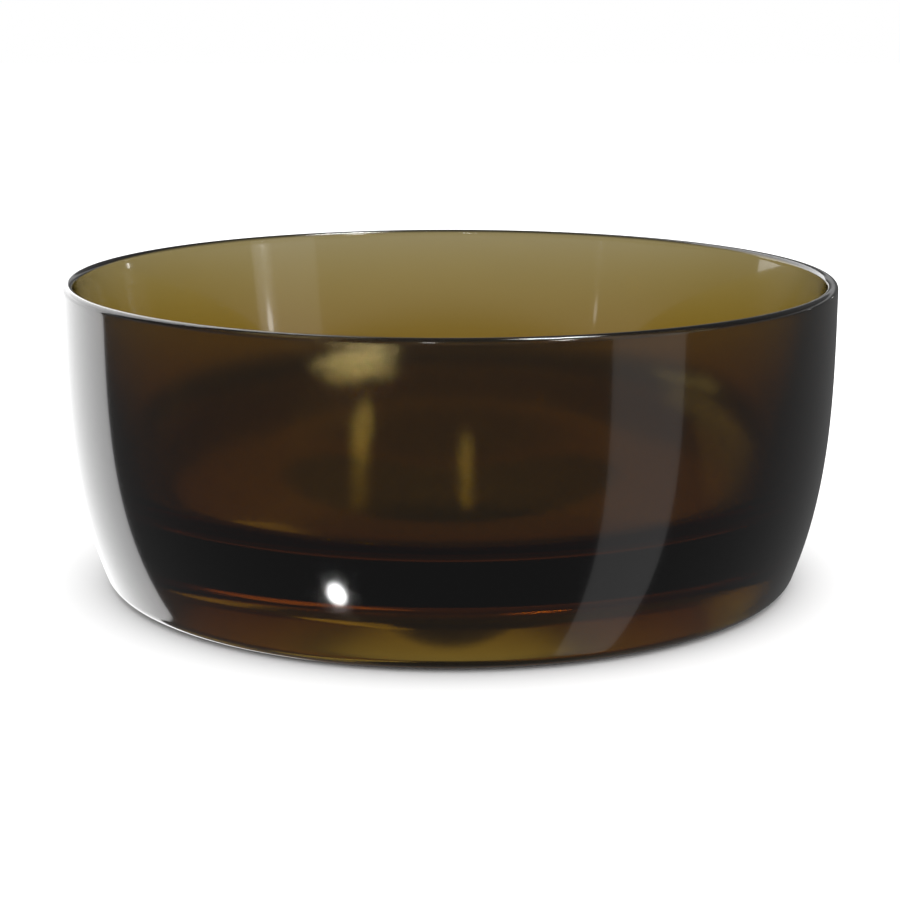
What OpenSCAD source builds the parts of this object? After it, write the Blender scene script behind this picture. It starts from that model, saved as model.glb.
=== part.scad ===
// Round blown-glass bowl with a full-round lip, a wall that thickens downwards,
// a raised floor and a hollow underside with a boss in its middle, all in one
// piece. Millimetres. +Z is up, the bowl's axis is Z, and the foot rests on Z = 0.

/* [Overall] */
// Outer diameter at the lip
rim_d = 253; // [230:1:300]
// Height from the resting plane to the top of the lip
bowl_h = 99.5; // [90:0.5:120]

/* [Outer wall] */
// How far the wall's line draws in from the lip to the resting plane
draw_in = 12.5; // [9:0.5:14]
// How late the wall starts to draw in: a high power keeps it straight for longer
draw_power = 3.2; // [2.8:0.1:4]
// Radius between the outer wall and the resting face
heel_r = 6; // [4:0.5:8]

/* [Glass thickness] */
// Thickness of the lip, which is rounded all the way over
lip_t = 3.6; // [2.5:0.1:6]
// Extra wall thickness for each millimetre below the lip
wall_taper = 0.16; // [0.1:0.01:0.2]
// Height of the inside floor
floor_z = 31.5; // [28:0.5:38]
// Radius between the inside wall and the floor
floor_r = 15; // [8:0.5:20]

/* [Hollow underside] */
// Width of the glass foot, from the heel's tangent in to the mouth of the hollow
foot_w = 3.5; // [3:0.5:8]
// Radius of the foot's inner edge
foot_edge_r = 1.5; // [1:0.5:2]
// How far the side of the hollow leans inwards as it rises, in degrees
hollow_draft = 8; // [0:1:12]
// Height of the hollow's ceiling
hollow_z = 19.5; // [16:0.5:22]
// Radius between the side of the hollow and its ceiling
hollow_r = 8; // [4:0.5:10]
// Height of the boss's tip, which hangs from the middle of the ceiling
boss_tip_z = 2.5; // [1:0.5:15]
// Radius over which the boss fades into the ceiling
boss_r = 66; // [30:1:72]

/* [Hidden] */

$fn = 128;
WALL_STEPS = 40;
ARC_STEPS = 12;
BOSS_STEPS = 24;
LEAN_STEP = 0.1;
FIRST_LEAN = 15;
// The wall ends and the round of the lip begins here
lip_z = bowl_h - lip_t / 2;

// Outer and inner radius of the wall at height z, before its corners are rounded
function outer_r(z) = rim_d / 2 - draw_in * pow(max(1 - z / lip_z, 0), draw_power);
function inner_r(z) = outer_r(z) - lip_t - wall_taper * (lip_z - z);

// Lean of each wall from the vertical at height z
function outer_lean(z) = atan((outer_r(z + LEAN_STEP) - outer_r(z)) / LEAN_STEP);
function inner_lean(z) = atan((inner_r(z + LEAN_STEP) - inner_r(z)) / LEAN_STEP);

// Lean of the wall where a corner of this radius, standing at height base, meets it
function outer_meet(radius, n = 6) =
    n == 0 ? FIRST_LEAN : outer_lean(radius * (1 - sin(outer_meet(radius, n - 1))));
function inner_meet(base, radius, n = 6) =
    n == 0 ? FIRST_LEAN : inner_lean(base + radius * (1 - sin(inner_meet(base, radius, n - 1))));

// Heel: centre of its arc and the height at which it runs into the wall
heel_lean = outer_meet(heel_r);
heel_top = heel_r * (1 - sin(heel_lean));
heel_c = outer_r(heel_top) - heel_r * cos(heel_lean);

// Floor corner: the same for the inside
corner_lean = inner_meet(floor_z, floor_r);
corner_top = floor_z + floor_r * (1 - sin(corner_lean));
corner_c = inner_r(corner_top) - floor_r * cos(corner_lean);

// Foot edge, then the side of the hollow, then the corner of its ceiling
edge_c = heel_c - foot_w + foot_edge_r;
side_low_r = edge_c - foot_edge_r * cos(hollow_draft);
side_low_z = foot_edge_r * (1 - sin(hollow_draft));
side_high_z = hollow_z - hollow_r * (1 - sin(hollow_draft));
side_high_r = side_low_r - (side_high_z - side_low_z) * tan(hollow_draft);
ceiling_c = side_high_r - hollow_r * cos(hollow_draft);

// Height of the hollow's ceiling at radius r, with the boss fading out smoothly
boss_drop = hollow_z - boss_tip_z;
function ceiling_z(r) = hollow_z - boss_drop * (1 + cos(180 * min(r / boss_r, 1))) / 2;

function arc(cx, cz, radius, from, to, steps) =
    [for (i = [0 : steps])
        let (a = from + (to - from) * i / steps)
        [cx + radius * cos(a), cz + radius * sin(a)]];

// Half section, counter-clockwise from the tip of the boss
function section() = concat(
    [for (i = [0 : BOSS_STEPS])
        let (r = boss_r * i / BOSS_STEPS)
        [r, ceiling_z(r)]],
    arc(ceiling_c, hollow_z - hollow_r, hollow_r, 90, hollow_draft, ARC_STEPS),
    arc(edge_c, foot_edge_r, foot_edge_r, 180 + hollow_draft, 270, ARC_STEPS),
    arc(heel_c, heel_r, heel_r, -90, -heel_lean, ARC_STEPS),
    [for (i = [1 : WALL_STEPS])
        let (z = heel_top + (lip_z - heel_top) * i / WALL_STEPS)
        [outer_r(z), z]],
    arc(outer_r(lip_z) - lip_t / 2, lip_z, lip_t / 2, 15, 165, ARC_STEPS),
    [for (i = [0 : WALL_STEPS - 1])
        let (z = lip_z + (corner_top - lip_z) * i / WALL_STEPS)
        [inner_r(z), z]],
    arc(corner_c, floor_z + floor_r, floor_r, -corner_lean, -90, ARC_STEPS),
    [[0, floor_z]]
);

module glass_bowl() {
    color([0.42, 0.31, 0.12, 0.6])
        rotate_extrude()
            polygon(section());
}

glass_bowl();
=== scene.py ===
"""Round blown-glass bowl in smoky amber glass, on a pale floor.

The bowl is one body of glass. Its visible mesh is a fine lathe of the same section as
the CAD solid, so that the inner and outer walls refract smoothly. The studio is made in the
world's nodes, and each kind of ray (camera, reflected, through glass, matt) meets its own.
"""
import math

import bpy
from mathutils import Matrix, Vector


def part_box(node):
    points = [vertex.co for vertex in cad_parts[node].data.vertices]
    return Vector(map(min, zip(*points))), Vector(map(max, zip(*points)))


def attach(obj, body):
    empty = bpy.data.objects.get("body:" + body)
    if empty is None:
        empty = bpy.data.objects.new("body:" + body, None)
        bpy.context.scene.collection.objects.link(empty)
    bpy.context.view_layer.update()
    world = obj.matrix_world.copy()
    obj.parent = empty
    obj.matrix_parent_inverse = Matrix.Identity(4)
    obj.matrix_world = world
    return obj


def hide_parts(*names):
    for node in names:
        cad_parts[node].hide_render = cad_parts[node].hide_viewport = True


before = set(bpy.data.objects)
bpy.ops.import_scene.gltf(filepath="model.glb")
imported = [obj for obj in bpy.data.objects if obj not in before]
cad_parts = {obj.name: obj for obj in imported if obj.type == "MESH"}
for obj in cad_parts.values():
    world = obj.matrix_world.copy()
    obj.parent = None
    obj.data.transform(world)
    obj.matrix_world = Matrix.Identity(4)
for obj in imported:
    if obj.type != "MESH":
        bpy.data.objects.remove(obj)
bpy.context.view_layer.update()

# Overall size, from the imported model
bowl_low, bowl_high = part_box("glass_bowl")
RIM_R = (bowl_high[0] - bowl_low[0]) / 2
HEIGHT = bowl_high[2]

# Section of the glass, in metres, as in the CAD model
DRAW_IN = 0.0125
DRAW_POWER = 3.2
HEEL_R = 0.006
LIP_T = 0.0036
WALL_TAPER = 0.16
FLOOR_Z = 0.0315
FLOOR_R = 0.015
FOOT_W = 0.0035
FOOT_EDGE_R = 0.0015
HOLLOW_DRAFT = math.radians(8)
HOLLOW_Z = 0.0195
HOLLOW_R = 0.008
BOSS_TIP_Z = 0.0025
BOSS_R = 0.066
LIP_Z = HEIGHT - LIP_T / 2

# Fineness of the lathe
SEGMENTS = 288
WALL_STEPS = 64
ARC_STEPS = 20
LIP_STEPS = 28
FLAT_STEPS = 24

# Camera, in rim radii and degrees
CAMERA_DISTANCE = 5.656 * RIM_R
CAMERA_ELEVATION = math.radians(12.7)
CAMERA_TARGET_Z = 0.3162 * RIM_R
CAMERA_LENS = 85
CAMERA_SENSOR = 36
CAMERA_CLIP_START = 0.01

# Glass. Tones are linear colours, and the absorption density is per metre.
GLASS_IOR = 1.5
GLASS_ROUGHNESS = 0.10
COAT_ROUGHNESS = 0.02
SKIN_TONE_DARK = (0.48, 0.455, 0.445, 1)
SKIN_TONE_LIGHT = (0.52, 0.49, 0.47, 1)
TONE_SCALE = 14
WAVE_SCALE = 9
WAVE_STRENGTH = 0.05
WAVE_HEIGHT = 0.001
NOISE_STRETCH = (1, 1, 2.5)
AMBER = (0.82, 0.685, 0.0, 1)
AMBER_DENSITY = 320

# Floor, just under the foot ring
FLOOR_SIZE = 8.0
FLOOR_GAP = 0.0003
FLOOR_TONE = (0.86, 0.86, 0.86, 1)
FLOOR_ROUGHNESS = 0.9

# Overhead light, in metres and watts
OVERHEAD_HEIGHT = 2.0
OVERHEAD_SIZE = 2.5
OVERHEAD_POWER = 30

# Studio. Elevations and azimuths are in degrees, as the Studio class describes.
# The background's colour is 0.8, so 1.25 shows to the camera as plain white.
SEEN_BY_CAMERA = 1.25
SEEN_BY_MATT = 1.8

# Brightness by elevation: what gloss reflects, and what shows through the glass
ROOM = [
    (-90, 0.08), (-60, 0.12), (5, 0.12), (9, 0.45), (11.5, 0.45), (13.5, 0.12), (90, 0.12)]
BACKLIGHT = [
    (-90, 0.10), (-45, 0.12), (-34, 0.25), (-24, 0.8), (-14, 0.92), (-9, 0.92), (-6, 0.75),
    (0, 0.68), (5, 0.35), (10, 0.35), (17, 1.30), (24, 1.30), (32, 0.3), (90, 0.3)]
BACKLIGHT_SIDES = 0.6

# Panels: azimuth, width, lowest and highest elevation, strength, soft edge
SOFT_BOX = (-34.5, 53, -35, 50, 1.6, 1.0)
STRIP = (122, 22.5, -56, 60, 0.36, 1.0)
BACKLIGHT_MIDDLE = (0, 28, -90, 90, 0.4, 12.0)
SOFT_BOX_THROUGH_GLASS = (-34.5, 53, 28, 60, 2.5, 1.0)

# Lamps that gloss reflects: azimuth, elevation, radius, strength, halo.
# The key lamp and the panels reach below floor level, which no real studio could do.
OVERHEAD_SPOT = (80, 74, 2.5, 32.0, 6.0)
FLOOR_SPOT_LEFT = (143, 40, 1.5, 20.0, 2.5)
FLOOR_SPOT_MIDDLE = (-173.5, 37.8, 0.8, 20.0, 1.6)
KEY = (-141.3, -39.6, 0.9, 30.0, 2.4)
FAR_WALL_STREAK = (114.5, 9.6, 0.3, 5.0, 1.0)
FAR_WALL_GLOW = (114.0, 9.0, 0.5, 0.5, 4.0)
FAR_LEFT_MARK = (54.3, 2.2, 0.3, 5.0, 0.8)
FAR_LEFT_EDGE_MARK = (32.5, -1.2, 0.3, 3.0, 0.8)
FAR_RIGHT_MARK = (-128, 10.2, 0.2, 2.5, 0.6)
LAMPS = (
    OVERHEAD_SPOT, FLOOR_SPOT_LEFT, FLOOR_SPOT_MIDDLE, KEY, FAR_WALL_STREAK, FAR_WALL_GLOW,
    FAR_LEFT_MARK, FAR_LEFT_EDGE_MARK, FAR_RIGHT_MARK)


# ---------------------------------------------------------------- section of the bowl

def outer_r(z):
    """Outer radius of the wall at height z, before the heel is rounded."""
    return RIM_R - DRAW_IN * max(1 - z / LIP_Z, 0) ** DRAW_POWER


def inner_r(z):
    """Inner radius of the wall at height z, before the floor corner is rounded."""
    return outer_r(z) - LIP_T - WALL_TAPER * (LIP_Z - z)


def meeting(wall_r, base, radius):
    """Lean and height at which a corner of this radius on base runs into a wall."""
    step = 0.0001
    lean = math.radians(15)
    for _ in range(6):
        z = base + radius * (1 - math.sin(lean))
        lean = math.atan((wall_r(z + step) - wall_r(z)) / step)
    return lean, base + radius * (1 - math.sin(lean))


def arc(centre_r, centre_z, radius, start, end, steps):
    """Points (r, z) along an arc between two angles."""
    angles = [start + (end - start) * i / steps for i in range(steps + 1)]
    return [(centre_r + radius * math.cos(a), centre_z + radius * math.sin(a)) for a in angles]


def ceiling_z(r):
    """Height of the hollow's ceiling at radius r, with the boss in its middle."""
    return HOLLOW_Z - (HOLLOW_Z - BOSS_TIP_Z) * (1 + math.cos(math.pi * min(r / BOSS_R, 1))) / 2


def section():
    """Half section (r, z), from the tip of the boss round the outside to the floor."""
    heel_lean, heel_top = meeting(outer_r, 0, HEEL_R)
    heel_c = outer_r(heel_top) - HEEL_R * math.cos(heel_lean)
    corner_lean, corner_top = meeting(inner_r, FLOOR_Z, FLOOR_R)
    corner_c = inner_r(corner_top) - FLOOR_R * math.cos(corner_lean)

    draft = HOLLOW_DRAFT
    edge_c = heel_c - FOOT_W + FOOT_EDGE_R
    side_low_r = edge_c - FOOT_EDGE_R * math.cos(draft)
    side_low_z = FOOT_EDGE_R * (1 - math.sin(draft))
    side_high_z = HOLLOW_Z - HOLLOW_R * (1 - math.sin(draft))
    side_high_r = side_low_r - (side_high_z - side_low_z) * math.tan(draft)
    ceiling_c = side_high_r - HOLLOW_R * math.cos(draft)

    quarter = math.pi / 2
    points = []
    for i in range(WALL_STEPS):
        r = ceiling_c * i / WALL_STEPS
        points.append((r, ceiling_z(r)))
    points += arc(ceiling_c, HOLLOW_Z - HOLLOW_R, HOLLOW_R, quarter, draft, ARC_STEPS)
    points += arc(edge_c, FOOT_EDGE_R, FOOT_EDGE_R, math.pi + draft, 3 * quarter, ARC_STEPS)
    points += arc(heel_c, HEEL_R, HEEL_R, -quarter, -heel_lean, ARC_STEPS)
    for i in range(1, WALL_STEPS):
        z = heel_top + (LIP_Z - heel_top) * i / WALL_STEPS
        points.append((outer_r(z), z))
    points += arc(RIM_R - LIP_T / 2, LIP_Z, LIP_T / 2, 0, math.pi, LIP_STEPS)
    for i in range(1, WALL_STEPS):
        z = LIP_Z + (corner_top - LIP_Z) * i / WALL_STEPS
        points.append((inner_r(z), z))
    points += arc(corner_c, FLOOR_Z + FLOOR_R, FLOOR_R, -corner_lean, -quarter, ARC_STEPS)
    for i in range(1, FLAT_STEPS + 1):
        points.append((corner_c * (1 - i / FLAT_STEPS), FLOOR_Z))
    return points


def lathe(name, points):
    """A closed mesh that turns (r, z) points round Z. The first and last are on the axis."""
    inside = points[1:-1]
    verts = [(0, 0, points[0][1])]
    for r, z in inside:
        for s in range(SEGMENTS):
            turn = 2 * math.pi * s / SEGMENTS
            verts.append((r * math.cos(turn), r * math.sin(turn), z))
    verts.append((0, 0, points[-1][1]))
    last = len(verts) - 1

    faces = []
    for s in range(SEGMENTS):
        after = (s + 1) % SEGMENTS
        faces.append((0, 1 + after, 1 + s))
        for ring in range(len(inside) - 1):
            low = 1 + ring * SEGMENTS
            high = low + SEGMENTS
            faces.append((low + s, low + after, high + after, high + s))
        top = 1 + (len(inside) - 1) * SEGMENTS
        faces.append((top + s, top + after, last))

    mesh = bpy.data.meshes.new(name)
    mesh.from_pydata(verts, [], faces)
    mesh.validate()
    mesh.shade_smooth()
    obj = bpy.data.objects.new(name, mesh)
    bpy.context.scene.collection.objects.link(obj)
    return obj


# ---------------------------------------------------------------- materials

def new_material(name):
    """An empty node material: (material, tree, Principled shader, output)."""
    material = bpy.data.materials.new(name)
    material.use_nodes = True
    tree = material.node_tree
    tree.nodes.clear()
    output = tree.nodes.new("ShaderNodeOutputMaterial")
    shader = tree.nodes.new("ShaderNodeBsdfPrincipled")
    tree.links.new(shader.outputs["BSDF"], output.inputs["Surface"])
    return material, tree, shader, output


def amber_glass():
    """Smoky amber glass: a grey skin tone, and amber that deepens with thickness."""
    material, tree, shader, output = new_material("smoky_amber_glass")
    shader.inputs["Roughness"].default_value = GLASS_ROUGHNESS
    shader.inputs["IOR"].default_value = GLASS_IOR
    shader.inputs["Transmission Weight"].default_value = 1.0
    shader.inputs["Coat Weight"].default_value = 1.0
    shader.inputs["Coat Roughness"].default_value = COAT_ROUGHNESS
    shader.inputs["Coat IOR"].default_value = GLASS_IOR

    place = tree.nodes.new("ShaderNodeTexCoord")
    stretch = tree.nodes.new("ShaderNodeMapping")
    stretch.inputs["Scale"].default_value = NOISE_STRETCH
    tree.links.new(place.outputs["Object"], stretch.inputs["Vector"])

    cords = tree.nodes.new("ShaderNodeTexNoise")
    cords.inputs["Scale"].default_value = TONE_SCALE
    cords.inputs["Detail"].default_value = 2
    tree.links.new(stretch.outputs["Vector"], cords.inputs["Vector"])
    tone = tree.nodes.new("ShaderNodeMix")
    tone.data_type = "RGBA"
    tone.inputs["A"].default_value = SKIN_TONE_DARK
    tone.inputs["B"].default_value = SKIN_TONE_LIGHT
    tree.links.new(cords.outputs["Fac"], tone.inputs["Factor"])
    tree.links.new(tone.outputs["Result"], shader.inputs["Base Color"])

    waves = tree.nodes.new("ShaderNodeTexNoise")
    waves.inputs["Scale"].default_value = WAVE_SCALE
    waves.inputs["Detail"].default_value = 1
    tree.links.new(stretch.outputs["Vector"], waves.inputs["Vector"])
    bump = tree.nodes.new("ShaderNodeBump")
    bump.inputs["Strength"].default_value = WAVE_STRENGTH
    bump.inputs["Distance"].default_value = WAVE_HEIGHT
    tree.links.new(waves.outputs["Fac"], bump.inputs["Height"])
    tree.links.new(bump.outputs["Normal"], shader.inputs["Normal"])

    depth = tree.nodes.new("ShaderNodeVolumeAbsorption")
    depth.inputs["Color"].default_value = AMBER
    depth.inputs["Density"].default_value = AMBER_DENSITY
    tree.links.new(depth.outputs["Volume"], output.inputs["Volume"])
    return material


def floor_material():
    """Plain pale matt paper."""
    material, tree, shader, _ = new_material("pale_floor")
    shader.inputs["Base Color"].default_value = FLOOR_TONE
    shader.inputs["Roughness"].default_value = FLOOR_ROUGHNESS
    shader.inputs["Specular IOR Level"].default_value = 0.0
    return material


# ---------------------------------------------------------------- studio

class Studio:
    """The world's node tree: soft panels and lamps placed by azimuth and elevation.

    Azimuth 0 is +Y and 90 is +X. Elevation is above the horizon. Both are in degrees.
    """

    def __init__(self):
        world = bpy.data.worlds.new("studio")
        bpy.context.scene.world = world
        world.use_nodes = True
        self.tree = world.node_tree
        self.tree.nodes.clear()
        coordinates = self.node("ShaderNodeTexCoord")
        self.direction = coordinates.outputs["Generated"]
        height = self.node("ShaderNodeSeparateXYZ")
        self.link(self.direction, height.inputs["Vector"])
        self.sine = height.outputs["Z"]

    def node(self, kind):
        return self.tree.nodes.new(kind)

    def link(self, source, target):
        self.tree.links.new(source, target)

    def math(self, operation, *values):
        """A Math node on sockets or numbers."""
        node = self.node("ShaderNodeMath")
        node.operation = operation
        for socket, value in zip(node.inputs, values):
            if isinstance(value, (int, float)):
                socket.default_value = value
            else:
                self.link(value, socket)
        return node.outputs["Value"]

    def fade(self, value, empty, full):
        """0 where value is at empty and 1 where it is at full, smooth between."""
        node = self.node("ShaderNodeMapRange")
        node.interpolation_type = "SMOOTHSTEP"
        node.inputs["From Min"].default_value = empty
        node.inputs["From Max"].default_value = full
        self.link(value, node.inputs["Value"])
        return node.outputs["Result"]

    def along(self, vector):
        """How far the view direction goes along a vector."""
        node = self.node("ShaderNodeVectorMath")
        node.operation = "DOT_PRODUCT"
        node.inputs[1].default_value = vector
        self.link(self.direction, node.inputs[0])
        return node.outputs["Value"]

    def panel(self, azimuth, width, low, high, strength, edge=1.0):
        """A soft box: azimuth of its middle, width, lowest and highest elevation."""
        turn = math.radians(azimuth)
        side = self.along((math.cos(turn), -math.sin(turn), 0))
        ahead = self.along((math.sin(turn), math.cos(turn), 0))
        across = self.math("ABSOLUTE", self.math("ARCTAN2", side, ahead))
        half = math.radians(width / 2)
        soft = math.radians(edge)
        mask = self.fade(across, half + soft, half)
        rise = self.math("ARCSINE", self.sine)
        above = self.fade(rise, math.radians(low) - soft, math.radians(low))
        below = self.fade(rise, math.radians(high) + soft, math.radians(high))
        mask = self.math("MULTIPLY", mask, self.math("MULTIPLY", above, below))
        return self.math("MULTIPLY", mask, strength)

    def lamp(self, azimuth, elevation, radius, strength, halo=1.0):
        """A small round lamp."""
        turn = math.radians(azimuth)
        rise = math.radians(elevation)
        flat = math.cos(rise)
        toward = (flat * math.sin(turn), flat * math.cos(turn), math.sin(rise))
        empty = math.cos(math.radians(radius + halo))
        full = math.cos(math.radians(radius))
        return self.math("MULTIPLY", self.fade(self.along(toward), empty, full), strength)

    def total(self, values):
        result = values[0]
        for value in values[1:]:
            result = self.math("ADD", result, value)
        return result

    def by_elevation(self, stops):
        """Brightness that changes with elevation: a list of (elevation, brightness)."""
        place = self.node("ShaderNodeMapRange")
        place.inputs["From Min"].default_value = -1
        self.link(self.sine, place.inputs["Value"])
        ramp = self.node("ShaderNodeValToRGB")
        self.link(place.outputs["Result"], ramp.inputs["Fac"])
        elements = ramp.color_ramp.elements
        for i, (elevation, brightness) in enumerate(stops):
            position = (math.sin(math.radians(elevation)) + 1) / 2
            element = elements[i] if i < 2 else elements.new(position)
            element.position = position
            element.color = (brightness, brightness, brightness, 1)
        return ramp.outputs["Color"]

    def finish(self, camera, glossy, transmitted, diffuse):
        """Gives each kind of ray its own brightness of the studio."""
        rays = self.node("ShaderNodeLightPath")
        strength = diffuse
        # A ray through glass is also flagged glossy, so its own value is mixed in after that.
        kinds = (
            ("Is Glossy Ray", glossy),
            ("Is Transmission Ray", transmitted),
            ("Is Camera Ray", camera))
        for kind, value in kinds:
            mix = self.node("ShaderNodeMix")
            self.link(rays.outputs[kind], mix.inputs["Factor"])
            for socket, source in ((mix.inputs["A"], strength), (mix.inputs["B"], value)):
                if isinstance(source, (int, float)):
                    socket.default_value = source
                else:
                    self.link(source, socket)
            strength = mix.outputs["Result"]
        background = self.node("ShaderNodeBackground")
        self.link(strength, background.inputs["Strength"])
        output = self.node("ShaderNodeOutputWorld")
        self.link(background.outputs["Background"], output.inputs["Surface"])


def studio_light():
    """Grey room with a tall soft box behind on the left, a narrow strip in front on the
    right and nine small lamps, and a separate backlight that shows through the glass."""
    studio = Studio()
    panels = [studio.by_elevation(ROOM), studio.panel(*SOFT_BOX), studio.panel(*STRIP)]
    glossy = studio.total(panels + [studio.lamp(*lamp) for lamp in LAMPS])

    backlight = studio.by_elevation(BACKLIGHT)
    middle = studio.math("ADD", studio.panel(*BACKLIGHT_MIDDLE), BACKLIGHT_SIDES)
    transmitted = studio.total([
        studio.math("MULTIPLY", backlight, middle), studio.panel(*SOFT_BOX_THROUGH_GLASS)])
    studio.finish(
        camera=SEEN_BY_CAMERA, glossy=glossy, transmitted=transmitted, diffuse=SEEN_BY_MATT)


def area_light(name, height, size, power):
    """A soft light overhead that only lights matt surfaces."""
    lamp = bpy.data.lights.new(name, "AREA")
    lamp.shape = "DISK"
    lamp.size = size
    lamp.energy = power
    obj = bpy.data.objects.new(name, lamp)
    bpy.context.scene.collection.objects.link(obj)
    obj.location.z = height
    obj.visible_camera = False
    obj.visible_glossy = False
    obj.visible_transmission = False
    return obj


def floor(size):
    """The plain pale floor. Glass and gloss see the studio in its place."""
    half = size / 2
    mesh = bpy.data.meshes.new("floor")
    corners = [(-half, -half, 0), (half, -half, 0), (half, half, 0), (-half, half, 0)]
    mesh.from_pydata(corners, [], [(0, 1, 2, 3)])
    mesh.materials.append(floor_material())
    obj = bpy.data.objects.new("floor", mesh)
    bpy.context.scene.collection.objects.link(obj)
    obj.location.z = -FLOOR_GAP
    obj.visible_glossy = False
    obj.visible_transmission = False
    return obj


def camera():
    """Camera at the front, looking down at the bowl a little."""
    data = bpy.data.cameras.new("camera")
    data.lens = CAMERA_LENS
    data.sensor_width = CAMERA_SENSOR
    data.clip_start = CAMERA_CLIP_START
    obj = bpy.data.objects.new("camera", data)
    bpy.context.scene.collection.objects.link(obj)
    back = CAMERA_DISTANCE * math.cos(CAMERA_ELEVATION)
    rise = CAMERA_DISTANCE * math.sin(CAMERA_ELEVATION)
    obj.location = (0, -back, CAMERA_TARGET_Z + rise)
    obj.rotation_euler = (math.pi / 2 - CAMERA_ELEVATION, 0, 0)
    bpy.context.scene.camera = obj


# ---------------------------------------------------------------- the scene

bowl = lathe("bowl_glass", section())
bowl.data.materials.append(amber_glass())
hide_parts("glass_bowl")
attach(bowl, "root")

floor(FLOOR_SIZE)
area_light("overhead", OVERHEAD_HEIGHT, OVERHEAD_SIZE, OVERHEAD_POWER)
studio_light()
camera()
bpy.context.scene.view_settings.view_transform = "Standard"
